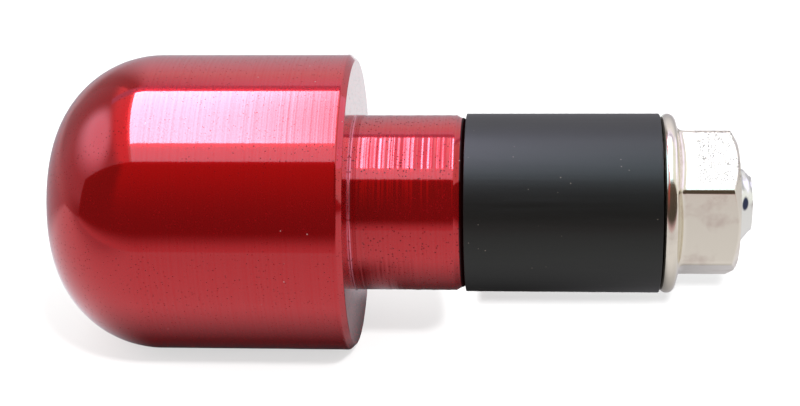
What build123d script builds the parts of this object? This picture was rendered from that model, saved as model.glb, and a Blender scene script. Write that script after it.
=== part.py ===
from build123d import *
import math
import os

# Bar end weight for a handlebar, with an expanding rubber plug. Turning the screw draws the nut
# towards the weight, and the rubber sleeve between them swells until it grips the bore of the bar.
# Sizes in millimetres. X is the axis of the bar: the origin is the centre of the flat seat that
# meets the end of the bar, +X runs into the bar and the nose of the weight is at -X. Z is up.

# The weight, turned from one aluminium bar
weight_diameter = 29.0
weight_length = 29.8  # from the seat to the plane that the round of the nose ends on
nose_radius = 10.7
nose_edge_chamfer = 0.3  # where the counterbore opens in the nose
rim_chamfer = 0.55  # on the outer edge of the seat
spigot_diameter = 17.2
spigot_length = 10.8
spigot_root_fillet = 0.15
spigot_lead_length = 0.5  # the lead before the spigot's end, along the axis
spigot_lead_depth = 0.3  # the same lead, across the axis
spigot_end_round = 0.45  # from the lead to the end face

# The M8 socket head screw, of the stock length of 55 with the sizes given here
screw_diameter = 8.0
screw_projection = 1.4  # how far the tip stands out of the nut
screw_tip_diameter = 5.0  # the flat at the end of the pointed tip
screw_tip_angle = 50.0  # of the point, from the axis
screw_head_diameter = 13.0
screw_head_height = 8.0
screw_head_chamfer = 0.6
screw_head_recess = 5.0  # from the plane of the nose to the top of the head
screw_neck_fillet = 0.4
key_across_flats = 6.0
key_depth = 4.0
key_drill_angle = 120.0  # of the drill point under the key hole

# The rubber sleeve, cut from tube
sleeve_diameter = 17.4
sleeve_length = 18.6

# The flange nut
nut_across_flats = 13.0
nut_height = 7.4
nut_corner_round = 0.7
nut_face_inset = 0.45  # from the flats to the round end face
nut_chamfer_angle = 30.0  # of the chamfer round that face
flange_diameter = 17.4
flange_rim_radius = 0.75
flange_slope = 16.0  # of the cone from the rim up to the flats
flange_root_fillet = 0.6
thread_lead = 0.4  # countersink at each end of the threaded hole

# Clearances, each on the radius
screw_to_weight = 0.5
head_to_counterbore = 0.75
screw_to_sleeve = 0.3
screw_to_nut = 0.05

# What follows from these sizes
weight_radius = weight_diameter / 2
spigot_radius = spigot_diameter / 2
screw_radius = screw_diameter / 2
nose_x = -weight_length
head_x = nose_x + screw_head_recess
head_seat_x = head_x + screw_head_height
nut_x = spigot_length + sleeve_length
nut_end_x = nut_x + nut_height
screw_tip_x = nut_end_x + screw_projection


def straight(*points):
    """Straight edges through points (x, radius), in order."""
    return [Line(start, end) for start, end in zip(points, points[1:])]


def turned(*edges):
    """The solid that a closed half outline of edges makes when it is turned about the X axis."""
    return revolve(make_face(Wire(edges)), Axis.X)


def along_x(x, sketch, length):
    """A sketch, drawn looking along the axis, set at x and extruded towards +X."""
    return extrude(Plane.YZ.offset(x) * sketch, length, dir=(1, 0, 0))


def weight_body():
    """The weight: round nose, seat and spigot in one, drilled through and counterbored for the screw."""
    nose_flat = weight_radius - nose_radius
    root = spigot_radius + spigot_root_fillet
    lead_end_x = spigot_length - spigot_end_round
    lead_end = spigot_radius - spigot_lead_depth
    outside = turned(
        *straight((nose_x, 0), (nose_x, nose_flat)),
        CenterArc((nose_x + nose_radius, nose_flat), nose_radius, 180, -90),
        *straight(
            (nose_x + nose_radius, weight_radius),
            (-rim_chamfer, weight_radius),
            (0, weight_radius - rim_chamfer),
            (0, root),
        ),
        CenterArc((spigot_root_fillet, root), spigot_root_fillet, 180, 90),
        *straight(
            (spigot_root_fillet, spigot_radius),
            (lead_end_x - spigot_lead_length, spigot_radius),
            (lead_end_x, lead_end),
        ),
        CenterArc((lead_end_x, lead_end - spigot_end_round), spigot_end_round, 90, -90),
        *straight(
            (spigot_length, lead_end - spigot_end_round),
            (spigot_length, 0),
            (nose_x, 0),
        ),
    )
    hole = screw_radius + screw_to_weight
    counterbore = screw_head_diameter / 2 + head_to_counterbore
    past_flat = max(counterbore - nose_flat, 0)
    mouth_x = nose_x + nose_radius - math.sqrt(nose_radius**2 - past_flat**2)
    flare_x = mouth_x + nose_edge_chamfer
    inside = turned(
        *straight(
            (nose_x, 0),
            (nose_x, counterbore + flare_x - nose_x),
            (flare_x, counterbore),
            (head_seat_x, counterbore),
            (head_seat_x, hole),
            (spigot_length, hole),
            (spigot_length, 0),
            (nose_x, 0),
        )
    )
    return outside - inside


def socket_screw():
    """The cap screw: chamfered head with a hexagon key hole, round neck, plain shank and pointed tip."""
    head_radius = screw_head_diameter / 2
    neck = screw_radius + screw_neck_fillet
    tip_radius = screw_tip_diameter / 2
    tip_length = (screw_radius - tip_radius) / math.tan(math.radians(screw_tip_angle))
    solid = turned(
        *straight(
            (head_x, 0),
            (head_x, head_radius - screw_head_chamfer),
            (head_x + screw_head_chamfer, head_radius),
            (head_seat_x, head_radius),
            (head_seat_x, neck),
        ),
        CenterArc((head_seat_x + screw_neck_fillet, neck), screw_neck_fillet, 180, 90),
        *straight(
            (head_seat_x + screw_neck_fillet, screw_radius),
            (screw_tip_x - tip_length, screw_radius),
            (screw_tip_x, tip_radius),
            (screw_tip_x, 0),
            (head_x, 0),
        ),
    )
    key_radius = key_across_flats / 2
    key_floor = head_x + key_depth
    point_depth = key_radius / math.tan(math.radians(key_drill_angle / 2))
    key_hole = along_x(head_x, RegularPolygon(key_radius, 6, major_radius=False), key_depth)
    drill_point = turned(
        *straight((key_floor, 0), (key_floor, key_radius), (key_floor + point_depth, 0), (key_floor, 0))
    )
    return solid - key_hole - drill_point


def rubber_sleeve():
    """The length of rubber tube between the end of the spigot and the flange of the nut."""
    inner = screw_radius + screw_to_sleeve
    outer = sleeve_diameter / 2
    return turned(
        *straight(
            (spigot_length, inner),
            (spigot_length, outer),
            (nut_x, outer),
            (nut_x, inner),
            (spigot_length, inner),
        )
    )


def flange_nut():
    """The nut: a hexagon with a chamfered end, filleted into a conical flange with a round rim."""
    hexagon = RegularPolygon(nut_across_flats / 2, 6, major_radius=False, rotation=30)
    hexagon = fillet(hexagon.vertices(), nut_corner_round)
    corner = nut_across_flats / math.sqrt(3)
    face = nut_across_flats / 2 - nut_face_inset
    chamfer_length = (corner - face) * math.tan(math.radians(nut_chamfer_angle))
    chamfered = turned(
        *straight(
            (nut_x, 0),
            (nut_x, corner),
            (nut_end_x - chamfer_length, corner),
            (nut_end_x, face),
            (nut_end_x, 0),
            (nut_x, 0),
        )
    )
    flats = along_x(nut_x, hexagon, nut_height) & chamfered

    slope = math.radians(flange_slope)
    rim_x = nut_x + flange_rim_radius
    rim = flange_diameter / 2 - flange_rim_radius
    cone_x = rim_x + flange_rim_radius * math.cos(slope)
    cone = rim + flange_rim_radius * math.sin(slope)
    flange = turned(
        *straight((nut_x, 0), (nut_x, rim)),
        CenterArc((rim_x, rim), flange_rim_radius, 180, flange_slope - 180),
        *straight((cone_x, cone), (cone_x + cone * math.tan(slope), 0), (nut_x, 0)),
    )
    solid = flats + flange
    cone_end_x = cone_x + cone * math.tan(slope)
    on_cone = solid.edges().filter_by(
        lambda edge: cone_x < edge.bounding_box().min.X and edge.bounding_box().max.X < cone_end_x
    )
    solid = fillet(on_cone, flange_root_fillet)

    bore = screw_radius + screw_to_nut
    lead = bore + thread_lead
    threaded_hole = turned(
        *straight(
            (nut_x, 0),
            (nut_x, lead),
            (nut_x + thread_lead, bore),
            (nut_end_x - thread_lead, bore),
            (nut_end_x, lead),
            (nut_end_x, 0),
            (nut_x, 0),
        )
    )
    return solid - threaded_hole


os.makedirs("parts", exist_ok=True)
for piece in (weight_body, socket_screw, rubber_sleeve, flange_nut):
    export_step(piece(), f"parts/{piece.__name__}.step")
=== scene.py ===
import math

import bmesh
import bpy
from mathutils import Matrix, Vector, noise


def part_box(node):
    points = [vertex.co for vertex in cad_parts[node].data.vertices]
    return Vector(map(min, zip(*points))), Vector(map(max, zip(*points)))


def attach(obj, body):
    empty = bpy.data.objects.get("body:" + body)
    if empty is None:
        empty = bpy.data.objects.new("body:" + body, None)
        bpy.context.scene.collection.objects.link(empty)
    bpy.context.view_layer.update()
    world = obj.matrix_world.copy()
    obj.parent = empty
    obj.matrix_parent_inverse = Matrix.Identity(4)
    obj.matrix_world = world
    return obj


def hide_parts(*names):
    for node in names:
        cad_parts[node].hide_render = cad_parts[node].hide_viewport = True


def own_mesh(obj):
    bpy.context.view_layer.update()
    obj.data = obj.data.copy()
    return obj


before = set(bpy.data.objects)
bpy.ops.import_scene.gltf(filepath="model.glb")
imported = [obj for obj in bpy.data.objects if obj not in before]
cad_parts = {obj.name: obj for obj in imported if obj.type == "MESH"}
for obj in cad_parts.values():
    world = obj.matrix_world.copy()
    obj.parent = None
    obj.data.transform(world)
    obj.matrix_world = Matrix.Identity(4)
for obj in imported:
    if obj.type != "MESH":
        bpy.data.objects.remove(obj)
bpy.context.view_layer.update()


# The weight
# One aluminium bar, turned to a round nose, a flat seat and a spigot that goes into the handlebar.
# Drilled and counterbored for the screw, then anodised red over the marks that the lathe left.
mm = 0.001
same_point = 1e-7  # metres; vertices as close as this are merged
sharp_angle = math.radians(40)
turned_faces = 96  # round the axis of a turned piece
weight_radius = 14.5
nose_radius = 10.7
nose_plane = -29.8
nose_steps = 90
rim_chamfer = 0.55
spigot_radius = 8.6
spigot_end = 10.8
spigot_lead = 0.5
spigot_lead_depth = 0.3
spigot_end_round = 0.45
hole_radius = 4.5
counterbore_radius = 7.25
head_seat = -16.8
body_feed = 0.24  # of the lathe's tool, for one turn
mark_spacing = 0.05


def outline(bm, start, points):
    """Edges from a first vertex through points (x, radius), in millimetres, above the axis."""
    chain = [start]
    for x, radius in points:
        chain.append(bm.verts.new((x * mm, 0, radius * mm)))
        bm.edges.new(chain[-2:])
    return chain


def bevel(bm, parts, offset, segments, affect):
    """Rounds edges or corners, from an offset in metres on each side of them."""
    bmesh.ops.bevel(
        bm,
        geom=parts,
        offset=offset,
        offset_type="OFFSET",
        segments=segments,
        profile=0.5,
        affect=affect,
        material=-1,
    )


def round_corner(bm, corner, radius, segments=4):
    """Puts an arc of that radius, in millimetres, in place of one corner of an outline."""
    sides = [edge.other_vert(corner).co - corner.co for edge in corner.link_edges]
    reach = radius * mm / math.tan(sides[0].angle(sides[1]) / 2)
    bevel(bm, [corner], reach, segments, "VERTICES")


def cut_marks(bm, radius, height):
    """Divides the longest edge at that radius, and moves the new vertices by the height of the marks."""
    level = [e for e in bm.edges if all(abs(v.co.z - radius * mm) < same_point for v in e.verts)]
    run = max(level, key=lambda edge: edge.calc_length())
    cuts = int(run.calc_length() / (mark_spacing * mm))
    for vert in bmesh.ops.subdivide_edges(bm, edges=[run], cuts=cuts)["geom_inner"]:
        if isinstance(vert, bmesh.types.BMVert):
            vert.co.z += height(vert.co.x / mm) * mm


def turn_on_lathe(bm):
    """Spins every edge once round the X axis."""
    bmesh.ops.spin(
        bm,
        geom=bm.verts[:] + bm.edges[:],
        cent=(0, 0, 0),
        axis=(1, 0, 0),
        angle=2 * math.pi,
        steps=turned_faces,
        use_merge=True,
    )


def make_piece(bm, name, finish):
    """Closes the mesh and makes it an object at the origin, smooth up to its sharp edges."""
    bmesh.ops.remove_doubles(bm, verts=bm.verts[:], dist=same_point)
    bmesh.ops.recalc_face_normals(bm, faces=bm.faces[:])
    mesh = bpy.data.meshes.new(name)
    bm.to_mesh(mesh)
    bm.free()
    mesh.shade_smooth()
    mesh.set_sharp_from_angle(angle=sharp_angle)
    mesh.materials.append(finish)
    piece = bpy.data.objects.new(name, mesh)
    bpy.context.collection.objects.link(piece)
    even = piece.modifiers.new("even_flats", "WEIGHTED_NORMAL")
    even.keep_sharp = True
    return piece


def wave(x, pitch, seed):
    """A smooth uneven wave along the axis, from about -1 to 1."""
    return noise.noise(Vector((x / pitch, seed, 0.5)))


def body_marks(x):
    """Height of the fine feed marks on the body, in millimetres."""
    feed = math.sin(2 * math.pi * x / body_feed) * (0.6 + 0.5 * wave(x, 1.1, 3.7))
    return 0.0006 * feed + 0.0022 * wave(x, 0.33, 8.1)


def spigot_marks(x):
    """Height of the coarse feed marks on the spigot, in millimetres."""
    return 0.025 * wave(x, 0.38, 1.3) + 0.01 * wave(x, 0.17, 5.9) - 0.012


bm = bmesh.new()
nose_centre = (nose_plane + nose_radius, weight_radius - nose_radius)
mouth_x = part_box("weight_body")[0].x / mm
mouth_angle = math.acos((nose_centre[0] - mouth_x) / nose_radius)
mouth_radius = nose_centre[1] + nose_radius * math.sin(mouth_angle)
mouth = bm.verts.new((mouth_x * mm, 0, mouth_radius * mm))
nose_end = bmesh.ops.spin(
    bm,
    geom=[mouth],
    cent=(nose_centre[0] * mm, 0, nose_centre[1] * mm),
    axis=(0, 1, 0),
    angle=math.pi / 2 - mouth_angle,
    steps=nose_steps,
)["geom_last"][0]
chain = outline(
    bm,
    nose_end,
    [
        (-rim_chamfer, weight_radius),
        (0, weight_radius - rim_chamfer),
        (0, spigot_radius),
        (spigot_end - spigot_end_round - spigot_lead, spigot_radius),
        (spigot_end - spigot_end_round, spigot_radius - spigot_lead_depth),
        (spigot_end, spigot_radius - spigot_lead_depth),
        (spigot_end, hole_radius),
        (head_seat, hole_radius),
        (head_seat, counterbore_radius),
        (mouth_x + mouth_radius - counterbore_radius, counterbore_radius),
    ],
)
bm.edges.new((chain[-1], mouth))
# In the order of the outline's corners, where None is left as it is
weight_rounds = (0.25, 0.15, 0.15, 0.15, None, spigot_end_round - 0.01, 0.15, 0.1, 0.2, 0.1)
for corner, radius in zip(chain[1:], weight_rounds):
    if radius:
        round_corner(bm, corner, radius, segments=6)
cut_marks(bm, weight_radius, body_marks)
cut_marks(bm, spigot_radius, spigot_marks)
turn_on_lathe(bm)


class Shade:
    """One socket of a material. Arithmetic on it adds Math nodes, and node() adds any other kind."""

    def __init__(self, tree, socket=None):
        self.tree = tree
        self.socket = socket

    def node(self, kind, settings=(), sockets=(), output=0):
        """A node with its settings set first, then the values or links of its sockets."""
        made = self.tree.nodes.new("ShaderNode" + kind)
        for name, value in dict(settings).items():
            setattr(made, name, value)
        for name, value in dict(sockets).items():
            if isinstance(value, Shade):
                self.tree.links.new(value.socket, made.inputs[name])
            else:
                made.inputs[name].default_value = value
        return Shade(self.tree, made.outputs[output] if made.outputs else None)

    def output(self, name):
        """Another output of the same node."""
        return Shade(self.tree, self.socket.node.outputs[name])

    def maths(self, operation, first, second):
        """A Math node with two inputs, sockets or numbers."""
        return self.node("Math", {"operation": operation}, {0: first, 1: second})

    def __add__(self, other):
        return self.maths("ADD", self, other)

    def __sub__(self, other):
        return self.maths("SUBTRACT", self, other)

    def __rsub__(self, other):
        return self.maths("SUBTRACT", other, self)

    def __mul__(self, other):
        return self.maths("MULTIPLY", self, other)

    __radd__ = __add__
    __rmul__ = __mul__

    def rise(self, low, high):
        """0 below low, 1 above high and smooth between; it falls where low is the larger."""
        ends = {"Value": self, "From Min": low, "From Max": high}
        return self.node("MapRange", {"interpolation_type": "SMOOTHSTEP"}, ends)

    def tint(self, base, other):
        """The base colour, mixed with the other by this amount."""
        return self.node("Mix", {"data_type": "RGBA"}, {0: self, 6: base, 7: other}, 2)


def new_finish(name):
    """A material with no nodes yet, and the place on the piece in millimetres."""
    material = bpy.data.materials.new(name)
    material.use_nodes = True
    material.node_tree.nodes.clear()
    place = Shade(material.node_tree).node("TexCoord", output="Object")
    return material, place.node("Mapping", sockets={"Vector": place, "Scale": (1 / mm,) * 3})


def specks(place, scale, size, patch_scale, patch_edge):
    """Round specks, one in each cell, where a slow noise rises past the edge of a patch."""
    cells = place.node("TexVoronoi", sockets={"Vector": place, "Scale": scale})
    patches = place.node("TexNoise", sockets={"Vector": place, "Scale": patch_scale, "Detail": 2.0})
    return cells.rise(size, size * 0.6) * patches.rise(*patch_edge)


red_dye = (0.48, 0.0025, 0.006, 1)
pit_red = (0.19, 0.003, 0.005, 1)
# The next colour is painted shade, for the groove between the spigot's end and the sleeve
groove_shade_black = (0.012, 0.001, 0.001, 1)
# The next colour is a painted highlight, a thin pale line where the spigot meets the seat
root_highlight_pink = (0.66, 0.13, 0.18, 1)
dust_pale = (0.42, 0.24, 0.23, 1)
red_finish, place = new_finish("red_anodised_aluminium")
along = place.node("SeparateXYZ", sockets={"Vector": place}, output="X")
lathe_lines = place.node(
    "TexNoise", {"noise_dimensions": "1D"}, {"W": along, "Scale": 4.2, "Detail": 3.0}
)
grain = place.node("TexNoise", sockets={"Vector": place, "Scale": 6.0, "Detail": 2.0})
past_nose = along.rise(-20.2, -18.8)
on_spigot = along.rise(-0.1, 0.1)
scratches = lathe_lines.rise(0.40, 0.64) * grain.rise(0.25, 0.55) * past_nose
pits = specks(place, 2.7, size=0.21 + 0.07 * on_spigot, patch_scale=0.3, patch_edge=(0.36, 0.54))
dust = specks(place, 0.7, size=0.06, patch_scale=0.5, patch_edge=(0.48, 0.60))
# A painted highlight: a thin pale line in the base colour where the spigot meets the seat
root_highlight = along.rise(0.03, 0.07) * along.rise(0.2, 0.15)
# Painted shade: the spigot's rounded end goes near black, with less coat, where it meets the sleeve
groove_shade = along.rise(10.3, 10.42)
dark = pits.maths("MAXIMUM", pits, groove_shade)
dull = dark.maths("MAXIMUM", dark, dust)
pitted_red = pits.tint(root_highlight.tint(red_dye, root_highlight_pink), pit_red)
shader = place.node(
    "BsdfPrincipled",
    sockets={
        "Base Color": dust.tint(groove_shade.tint(pitted_red, groove_shade_black), dust_pale),
        "Metallic": 0.7 - 0.7 * dull,
        "Roughness": 0.10 + 0.05 * lathe_lines,
        "Specular IOR Level": 0.0,
        "Coat Weight": 0.95 - 0.18 * scratches - 0.42 * dark - 0.34 * groove_shade,
        "Coat Roughness": 0.045,
        "Coat IOR": 1.6,
    },
)
place.node("OutputMaterial", sockets={"Surface": shader})

weight = make_piece(bm, "turned_weight", red_finish)
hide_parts("weight_body")
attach(weight, "weight")


# The socket head screw
# A zinc plated M8 cap screw that goes in from the nose, with its head deep in the counterbore.
# Its thread is rolled, and its tip is pointed where it stands out of the nut.
screw_radius = 4.0
thread_root = 3.32
thread_pitch = 1.25
thread_start = 10.0
thread_runout = 0.3
thread_steps = 48  # faces in one turn
on_plane = 1e-8  # metres; vertices as close as this to a cut lie on it
tip_x = 38.2
tip_radius = 2.5
tip_slope = math.tan(math.radians(50))
head_top = -24.8
head_radius = 6.5
head_chamfer = 0.6
head_edge_round = 0.12
neck_fillet = 0.4
half_flat = math.pi / 6  # from a corner of a hexagon to the middle of its flat
key_corner = 3.0 / math.cos(half_flat)
key_edge_round = 0.08
key_floor = -20.8
drill_radius = 2.95
drill_end = -19.2
drill_end_radius = 0.17
# Where a painted reflection lies: a dark blue patch on the front of the tip
reflection_place = {"Location": (37.4, -3.1, 1.15), "Scale": (0.34, 2.0, 0.6)}


def set_ring(verts, x, radius):
    """Moves vertices to x and a radius, which are numbers or rules of the angle from Z.

    A radius of None keeps their own.
    """
    for vert in verts:
        angle = math.atan2(vert.co.y, vert.co.z)
        own = math.hypot(vert.co.y, vert.co.z) / mm
        reach = own if radius is None else radius(angle) if callable(radius) else radius
        where = x(angle) if callable(x) else x
        vert.co = Vector((where, reach * math.sin(angle), reach * math.cos(angle))) * mm


def wires(bm):
    """The edges that have no face yet."""
    return [edge for edge in bm.edges if edge.is_wire]


def draw_out(bm, ring, x, radius):
    """Extrudes a ring of edges to x and a radius, and gives the new ring."""
    made = bmesh.ops.extrude_edge_only(bm, edges=ring)["geom"]
    set_ring([part for part in made if isinstance(part, bmesh.types.BMVert)], x, radius)
    return [part for part in made if isinstance(part, bmesh.types.BMEdge)]


bm = bmesh.new()
turns = math.ceil((tip_x - thread_start) / thread_pitch) + 2
thread_x = thread_start - thread_pitch
# One tooth and the groove after it, in sixteenths of the pitch
tooth = [(0, thread_root), (5, screw_radius), (7, screw_radius), (12, thread_root), (16, thread_root)]
tooth = [(thread_x + thread_pitch * share / 16, radius) for share, radius in tooth]
outline(bm, bm.verts.new((tooth[0][0] * mm, 0, tooth[0][1] * mm)), tooth[1:])
bmesh.ops.spin(
    bm,
    geom=bm.verts[:] + bm.edges[:],
    cent=(0, 0, 0),
    axis=(1, 0, 0),
    angle=2 * math.pi * turns,
    steps=thread_steps * turns,
    dvec=(thread_pitch / thread_steps * mm, 0, 0),
)
bmesh.ops.remove_doubles(bm, verts=bm.verts[:], dist=same_point)
for vert in bm.verts:
    point = tip_radius + tip_slope * max(tip_x - vert.co.x / mm, 0)
    if math.hypot(vert.co.y, vert.co.z) > point * mm:
        set_ring([vert], vert.co.x / mm, point)
for cut_x, past_cut in ((thread_start, "clear_inner"), (tip_x, "clear_outer")):
    bmesh.ops.bisect_plane(
        bm,
        geom=bm.verts[:] + bm.edges[:] + bm.faces[:],
        dist=on_plane,
        plane_co=(cut_x * mm, 0, 0),
        plane_no=(1, 0, 0),
        **{past_cut: True},
    )
cut_edges = [edge for edge in bm.edges if edge.is_boundary]
middle_x = (thread_start + tip_x) / 2 * mm
bmesh.ops.edgeloop_fill(bm, edges=[edge for edge in cut_edges if edge.verts[0].co.x > middle_x])
thread_edge = [edge for edge in cut_edges if edge.verts[0].co.x < middle_x]

across_x = Matrix.Rotation(math.pi / 2, 4, "Y")
bmesh.ops.create_circle(bm, segments=6, radius=key_corner * mm, matrix=across_x)
bmesh.ops.subdivide_edges(bm, edges=wires(bm), cuts=thread_steps // 6 - 1)
key_ring = wires(bm)
set_ring({vert for edge in key_ring for vert in edge.verts}, key_floor, None)
drill_ring = draw_out(bm, key_ring, key_floor, drill_radius)
drill_ring = draw_out(bm, drill_ring, drill_end, drill_end_radius)
bmesh.ops.edgeloop_fill(bm, edges=drill_ring)
mouth_ring = draw_out(bm, key_ring, head_top, None)
top_ring = draw_out(bm, mouth_ring, head_top, head_radius - head_chamfer)
side_ring = draw_out(bm, top_ring, head_top + head_chamfer, head_radius)
seat_ring = draw_out(bm, side_ring, head_seat, head_radius)
neck_ring = draw_out(bm, seat_ring, head_seat, screw_radius)
shank_ring = draw_out(bm, neck_ring, thread_start - thread_runout, screw_radius)
bmesh.ops.bridge_loops(bm, edges=shank_ring + thread_edge)
head_edges = top_ring + side_ring + seat_ring
bevel(bm, head_edges, head_edge_round * mm, 4, "EDGES")
bevel(bm, neck_ring, neck_fillet * mm, 4, "EDGES")
bevel(bm, mouth_ring, key_edge_round * mm, 4, "EDGES")

zinc_pale = (0.80, 0.81, 0.73, 1)
reflection_navy = (0.03, 0.04, 0.08, 1)
zinc_finish, place = new_finish("zinc_plate")
grain = place.node("TexNoise", sockets={"Vector": place, "Scale": 9.0, "Detail": 3.0})
# A painted reflection: a dark blue patch on the front of the tip, which is also rougher there
reflection_spot = place.node("Mapping", {"vector_type": "TEXTURE"}, {"Vector": place, **reflection_place})
reflection_mask = reflection_spot.node("VectorMath", {"operation": "LENGTH"}, {0: reflection_spot}, 1).rise(1.2, 0.7)
shader = place.node(
    "BsdfPrincipled",
    sockets={
        "Base Color": reflection_mask.tint(zinc_pale, reflection_navy),
        "Metallic": 1.0,
        "Roughness": 0.16 + 0.16 * grain + 0.1 * reflection_mask,
    },
)
place.node("OutputMaterial", sockets={"Surface": shader})

screw = make_piece(bm, "plated_cap_screw", zinc_finish)
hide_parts("socket_screw")
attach(screw, "screw")


# The rubber sleeve
# A length of black rubber tube, cut off square, that sits round the screw between spigot and nut.
# The nut squeezes it along the axis when the screw is turned.
sleeve_radius = 8.7
sleeve_bore = 4.3
sleeve_end = 29.4
sleeve_rounds = (0.1, 0.08, 0.08, 0.1)  # from the corner in the bore at the spigot

bm = bmesh.new()
start = bm.verts.new((spigot_end * mm, 0, sleeve_bore * mm))
chain = outline(
    bm,
    start,
    [(spigot_end, sleeve_radius), (sleeve_end, sleeve_radius), (sleeve_end, sleeve_bore)],
)
bm.edges.new((chain[-1], start))
for corner, radius in zip(chain, sleeve_rounds):
    round_corner(bm, corner, radius)
turn_on_lathe(bm)

rubber_black = (0.0015, 0.0015, 0.0015, 1)
rubber_worn = (0.0045, 0.0045, 0.0045, 1)
lint = (0.30, 0.24, 0.20, 1)
rubber_finish, place = new_finish("black_rubber")
drawn_out = place.node("Mapping", sockets={"Vector": place, "Scale": (0.06, 1.6, 1.6)})
streaks = place.node("TexNoise", sockets={"Vector": drawn_out, "Scale": 1.6, "Detail": 5.0})
grain = place.node("TexNoise", sockets={"Vector": place, "Scale": 7.0, "Detail": 4.0})
fluff = specks(place, 1.3, size=0.07, patch_scale=0.45, patch_edge=(0.5, 0.62))
dents = place.node(
    "Bump",
    sockets={"Height": grain + streaks, "Strength": 0.12, "Distance": 0.05 * mm},
)
shader = place.node(
    "BsdfPrincipled",
    sockets={
        "Base Color": fluff.tint(streaks.tint(rubber_black, rubber_worn), lint),
        "Roughness": 0.39 + 0.14 * streaks + 0.08 * grain,
        "Normal": dents,
        "IOR": 1.46,
        "Specular Tint": (0.92, 0.98, 0.86, 1),
        "Coat Weight": 0.15,
        "Coat Roughness": 0.25,
    },
)
place.node("OutputMaterial", sockets={"Surface": shader})

sleeve = make_piece(bm, "cut_rubber_sleeve", rubber_finish)
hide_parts("rubber_sleeve")
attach(sleeve, "weight")
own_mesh(sleeve)


# The flange nut
# A cold formed steel nut, nickel plated: a hexagon with a turned chamfer on its end, and a conical
# flange with a round rim that presses on the sleeve. The screw's thread runs in it.
nut_flat = 6.5
nut_end = 36.8
nut_bore = 4.05
nut_bore_lead = 0.4
nut_face = 6.05
nut_chamfer = math.tan(math.radians(30))
nut_flat_cuts = 12
corner_round = 0.7
corner_steps = 16
flange_radius = 8.7
rim_round = 0.75
rim_steps = 12
rim_centre = (sleeve_end + rim_round, flange_radius - rim_round)
root_fillet_width = 0.45
flat_edge_width = 0.07
face_edge_width = 0.1
lead_edge_width = 0.05
flange_slope = math.radians(16)
cone_start = (
    rim_centre[0] + rim_round * math.cos(flange_slope),
    rim_centre[1] + rim_round * math.sin(flange_slope),
)


def hexagon(angle):
    """Distance from the axis to the flats and their round corners, at an angle from a corner."""
    off = abs((angle + half_flat) % (2 * half_flat) - half_flat)
    centre = (nut_flat - corner_round) / math.cos(half_flat)
    round_end = math.atan2(corner_round / 2, centre + corner_round * math.cos(half_flat))
    if off < round_end:
        return centre * math.cos(off) + math.sqrt(corner_round**2 - (centre * math.sin(off)) ** 2)
    return nut_flat / math.cos(half_flat - off)


def cone_x(angle):
    """Where the cone of the flange meets the hexagon."""
    return cone_start[0] + (cone_start[1] - hexagon(angle)) * math.tan(flange_slope)


def chamfer_x(angle):
    """Where the chamfer of the end meets the hexagon."""
    return nut_end - (hexagon(angle) - nut_face) * nut_chamfer


bm = bmesh.new()
corner_up = Matrix.Rotation(math.pi / 2, 4, "X") @ across_x
nut_corner = nut_flat / math.cos(half_flat)
bmesh.ops.create_circle(bm, segments=6, radius=nut_corner * mm, matrix=corner_up)
bevel(bm, bm.verts[:], corner_round * math.tan(half_flat) * mm, corner_steps, "VERTICES")
flats = [edge for edge in bm.edges if edge.calc_length() > corner_round * mm]
bmesh.ops.subdivide_edges(bm, edges=flats, cuts=nut_flat_cuts)
first_ring = bm.edges[:]
set_ring(bm.verts, sleeve_end + nut_bore_lead, nut_bore)
ring = draw_out(bm, first_ring, sleeve_end, nut_bore + nut_bore_lead)
for step in range(rim_steps + 1):
    lean = math.pi + (flange_slope - math.pi) * step / rim_steps
    rim_x = rim_centre[0] + rim_round * math.cos(lean)
    ring = draw_out(bm, ring, rim_x, rim_centre[1] + rim_round * math.sin(lean))
root_ring = draw_out(bm, ring, cone_x, hexagon)
flat_ring = draw_out(bm, root_ring, chamfer_x, hexagon)
face_ring = draw_out(bm, flat_ring, nut_end, nut_face)
lead_ring = draw_out(bm, face_ring, nut_end, nut_bore + nut_bore_lead)
last_ring = draw_out(bm, lead_ring, nut_end - nut_bore_lead, nut_bore)
bmesh.ops.bridge_loops(bm, edges=last_ring + first_ring)
bmesh.ops.recalc_face_normals(bm, faces=bm.faces[:])
bevel(bm, root_ring, root_fillet_width * mm, 4, "EDGES")
bevel(bm, flat_ring, flat_edge_width * mm, 4, "EDGES")
bevel(bm, face_ring, face_edge_width * mm, 4, "EDGES")
bevel(bm, lead_ring, lead_edge_width * mm, 4, "EDGES")

nickel = (0.78, 0.735, 0.605, 1)
nickel_stain = (0.67, 0.60, 0.50, 1)
nickel_pit = (0.03, 0.028, 0.025, 1)
nickel_finish, place = new_finish("nickel_plate")
stains = place.node("TexNoise", sockets={"Vector": place, "Scale": 0.5, "Detail": 5.0})
grain = place.node("TexNoise", sockets={"Vector": place, "Scale": 8.0, "Detail": 3.0})
height = place.node("SeparateXYZ", sockets={"Vector": place}, output="Z")
along = height.output("X")
on_upper_flats = height.rise(3.9, 4.3) * along.rise(32.3, 33.0)
marks = specks(place, 6.5, size=0.44, patch_scale=0.9, patch_edge=(0.36, 0.5))
pits = marks * on_upper_flats
ripples = place.node("Bump", sockets={"Height": grain, "Strength": 0.1, "Distance": 0.02 * mm})
stained = stains.rise(0.5, 0.75)
shader = place.node(
    "BsdfPrincipled",
    sockets={
        "Base Color": pits.tint(stained.tint(nickel, nickel_stain), nickel_pit),
        "Metallic": 1.0,
        "Roughness": 0.1 + 0.1 * grain + 0.1 * stained,
        "Normal": ripples,
    },
)
place.node("OutputMaterial", sockets={"Surface": shader})

nut = make_piece(bm, "plated_flange_nut", nickel_finish)
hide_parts("flange_nut")
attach(nut, "nut")


# The table and the light
# A white table that the weight lies on, in an evenly lit white room, with two lamps for its shadow.
# Panels that only reflections show stand for the softbox, the window and the dark side of the room.
table_z = -weight_radius
table_reach = 1500
room_light = 1.2


def glow_at(place, glow):
    """The colour of a glow, which is a colour or a rule of the place."""
    return glow(place) if callable(glow) else glow


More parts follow.
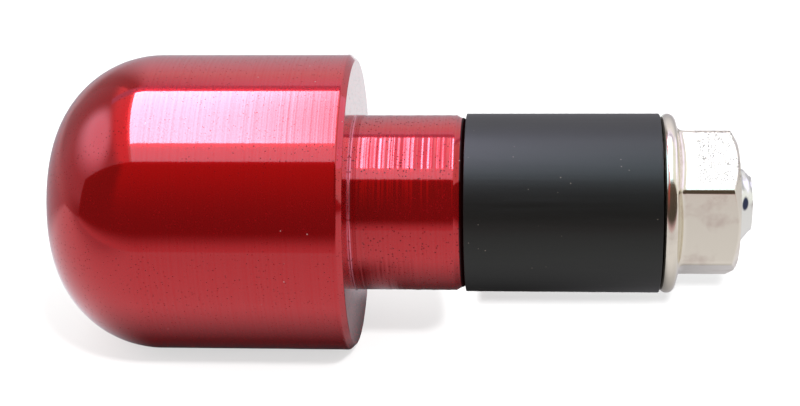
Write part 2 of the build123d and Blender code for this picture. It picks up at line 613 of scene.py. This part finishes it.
def panel(name, centre, size, turn, glow):
    """A flat panel of light that only shows in reflections."""
    bm = bmesh.new()
    where = Matrix.Translation(Vector(centre) * mm) @ turn.to_4x4()
    spread = Matrix.Diagonal((size[0] * mm / 2, size[1] * mm / 2, 1, 1))
    bmesh.ops.create_grid(bm, x_segments=1, y_segments=1, size=1.0, matrix=where @ spread)
    mesh = bpy.data.meshes.new(name)
    bm.to_mesh(mesh)
    bm.free()
    material, place = new_finish(name + "_glow")
    light = place.node("Emission", sockets={"Color": glow_at(place, glow)})
    place.node("OutputMaterial", sockets={"Surface": light})
    mesh.materials.append(material)
    made = bpy.data.objects.new(name, mesh)
    bpy.context.collection.objects.link(made)
    made.visible_camera = made.visible_diffuse = made.visible_shadow = False
    made.visible_transmission = made.visible_volume_scatter = False


def fade(way, start, end, near, far):
    """A glow that goes from near to far between two places on X, Y or Z."""

    def glow(place):
        along = place.node("SeparateXYZ", sockets={"Vector": place}, output=way)
        return along.rise(start, end).tint(glow_at(place, near), glow_at(place, far))

    return glow


def spot(centre, reach, middle, edge):
    """A glow that goes from its middle to its edge at a reach, given for each axis."""

    def glow(place):
        shape = {"Vector": place, "Location": centre, "Scale": reach}
        place = place.node("Mapping", {"vector_type": "TEXTURE"}, shape)
        away = place.node("VectorMath", {"operation": "LENGTH"}, {0: place}, 1)
        return away.rise(0.35, 1.0).tint(middle, edge)

    return glow


facing_down = Matrix.Identity(3)
facing_side = Matrix.Rotation(math.pi / 2, 3, "Y")
facing_front = Matrix.Rotation(math.pi / 2, 3, "X")

softbox_white = (13.4, 12.7, 17.4, 1)
softbox_end = (1.35, 1.28, 1.76, 1)
softbox = fade("X", -75, -6, softbox_white, softbox_end)
panel("softbox", (-58, -5, 300), (134, 268), facing_down, softbox)

ceiling_white = (2.1, 2.1, 2.44, 1)
ceiling_front = (1.55, 2.1, 2.5, 1)
gap_mauve = (0.55, 0.5, 0.74, 1)
ceiling = fade("Y", -130, 120, ceiling_front, ceiling_white)
panel("ceiling", (0, -59, 302), (250, 376), facing_down, ceiling)
panel("ceiling_gap", (0, 150, 303), (500, 44), facing_down, gap_mauve)

window_blue = (1.3, 1.8, 2.2, 1)
left_grey = (0.4, 0.39, 0.43, 1)
left_dark = (0.06, 0.05, 0.045, 1)
left_pale = (0.5, 0.47, 0.5, 1)
left_back = (0.28, 0.27, 0.29, 1)
left_high = (1.15, 0.42, 0.46, 1)
window = spot((-300, 0, 262), (1, 215, 185), window_blue, left_grey)
left_middle = fade("Y", 90, 220, window, left_back)
left_low = fade("Y", -150, 80, left_dark, left_pale)
left_side = fade("Z", 0, 45, left_low, fade("Z", 330, 480, left_middle, left_high))
panel("left_wall", (-300, -125, 340), (710, 950), facing_side, left_side)

right_white = (1.4, 1.33, 1.82, 1)
panel("right_wall", (300, 110, 145), (116, 300), facing_side, right_white)

back_high = (0.9, 0.87, 0.97, 1)
back_low = (0.5, 0.485, 0.54, 1)
back_dark = (0.25, 0.23, 0.24, 1)
back_plain = (1, 0.97, 1.03, 1)
back_mauve = (1.15, 1.05, 1.4, 1)
back_left = fade("Z", 20, 120, left_pale, back_dark)
back_top = fade("Z", 330, 620, back_plain, back_mauve)
back_right = fade("Z", 300, 306, fade("Z", 20, 290, back_low, back_high), back_top)
back_side = fade("X", -240, -90, back_left, back_right)
panel("back_wall", (0, 352, 345), (1400, 720), facing_front, back_side)

front_low = (0.69, 0.456, 0.5, 1)
front_dark = (0.07, 0.055, 0.043, 1)
front_red = (0.48, 0.075, 0.05, 1)
front_brown = (0.098, 0.065, 0.043, 1)
front_top = fade("X", -8, 2, fade("X", -62, -48, front_brown, front_red), front_brown)
front_side = fade("Z", 0, 60, fade("Z", -14.5, 0.5, front_low, front_dark), front_top)
panel("front_shade", (120, -60, 27), (640, 83), facing_front, front_side)

bm = bmesh.new()
table_place = Matrix.Translation((0, 0, table_z * mm))
bmesh.ops.create_grid(bm, x_segments=1, y_segments=1, size=table_reach * mm, matrix=table_place)
table_mesh = bpy.data.meshes.new("white_table")
bm.to_mesh(table_mesh)
bm.free()
card_grey = (0.4, 0.4, 0.4, 1)
card_backlight = 0.14
mirrored_strength = 1.05
far_white = (0.70, 0.68, 0.73, 1)
left_white = (0.42, 0.40, 0.44, 1)
back_white = (0.88, 0.96, 0.99, 1)
near_white = (0.80, 0.775, 0.83, 1)
weight_shade = (0.03, 0.028, 0.03, 1)
plug_shade = (0.06, 0.058, 0.06, 1)
table_white, place = new_finish("white_card")
camera_ray = place.node("LightPath", output="Is Camera Ray")
along = place.node("SeparateXYZ", sockets={"Vector": place}, output="X")
depth = along.output("Y")
across = depth.maths("ABSOLUTE", depth, 0)
# What reflections and bounced light see of the table is a painted glow, not lit by the lamps: a painted
# shadow where the part stands over it, and paler further off
under_weight = across.rise(18, 7.5) * along.rise(-33, -20) * along.rise(6, -1)
under_plug = depth.rise(-16, 0) * depth.rise(45, 20) * along.rise(0.8, 4.2) * along.rise(52, 14)
behind = depth.rise(18, 42) * along.rise(45, 15)
distant = along.rise(-28, -65).tint(behind.tint(far_white, back_white), left_white)
painted_lit_white = (across.rise(55, 12) * depth.rise(30, 10)).tint(distant, near_white)
mirrored_white = under_weight.tint(under_plug.tint(painted_lit_white, plug_shade), weight_shade)
card = place.node("BsdfDiffuse", sockets={"Color": card_grey})
backlight = place.node("Emission", sockets={"Strength": card_backlight})
lit_card = place.node("AddShader", sockets={0: card, 1: backlight})
mirrored = place.node("Emission", sockets={"Color": mirrored_white, "Strength": mirrored_strength})
shader = place.node("MixShader", sockets={0: camera_ray, 1: mirrored, 2: lit_card})
place.node("OutputMaterial", sockets={"Surface": shader})
table_mesh.materials.append(table_white)
table = bpy.data.objects.new("white_table", table_mesh)
bpy.context.collection.objects.link(table)

lit_by_lamps = bpy.data.collections.new("lit_by_lamps")
lit_by_lamps.objects.link(table)


def table_lamp(name, height, side, energy, softness, shaded_by):
    """A far lamp in front that lights the table alone and is shaded by some pieces.

    Its height, its side and the softness of its shadow are angles in degrees.
    """
    light = bpy.data.lights.new(name, "SUN")
    light.energy = energy
    light.angle = math.radians(softness)
    lamp = bpy.data.objects.new(name, light)
    lamp.rotation_euler = (math.radians(90 - height), 0, math.radians(-side))
    bpy.context.collection.objects.link(lamp)
    lamp.light_linking.receiver_collection = lit_by_lamps
    blockers = bpy.data.collections.new(name + "_shade")
    for piece in shaded_by:
        blockers.objects.link(piece)
    lamp.light_linking.blocker_collection = blockers


table_lamp("low_lamp", height=28.5, side=3, energy=7.7, softness=5, shaded_by=[screw, sleeve, nut])
table_lamp("high_lamp", height=46, side=-26, energy=2.85, softness=8, shaded_by=[weight])

room = bpy.data.worlds.new("white_room")
room.use_nodes = True
room.node_tree.nodes.clear()
room.cycles.sampling_method = "NONE"
bpy.context.scene.world = room
camera_ray = Shade(room.node_tree).node("LightPath", output="Is Camera Ray")
plain_white = camera_ray + camera_ray.output("Is Glossy Ray") + camera_ray.output("Is Transmission Ray")
strength = room_light + (1 - room_light) * plain_white
white = strength.node("Background", sockets={"Color": (1, 1, 1, 1), "Strength": strength})
white.node("OutputWorld", sockets={"Surface": white})


# The camera
# A long lens, a little above the weight and square to its axis apart from a few degrees.
focal_length = 81.0
look_down = math.radians(21.0)
look_left = math.radians(4.6)
roll = math.radians(-0.2)
distance = 177.35
sideways = -4.2
upward = -0.1

forward = Vector(
    (
        -math.sin(look_left),
        math.cos(look_left) * math.cos(look_down),
        -math.cos(look_left) * math.sin(look_down),
    )
)
level = Vector((1, 0, 0))
level = (level - level.dot(forward) * forward).normalized()
right = math.cos(roll) * level - math.sin(roll) * level.cross(forward)
up = right.cross(forward)
lens = bpy.data.cameras.new("camera")
lens.lens = focal_length
lens.sensor_width = 36.0
lens.clip_start = 0.01
camera = bpy.data.objects.new("camera", lens)
eye = (-sideways * right + upward * up - distance * forward) * mm
camera.matrix_world = Matrix.Translation(eye) @ Matrix((right, up, -forward)).transposed().to_4x4()
bpy.context.collection.objects.link(camera)
bpy.context.scene.camera = camera
bpy.context.scene.view_settings.view_transform = "Standard"
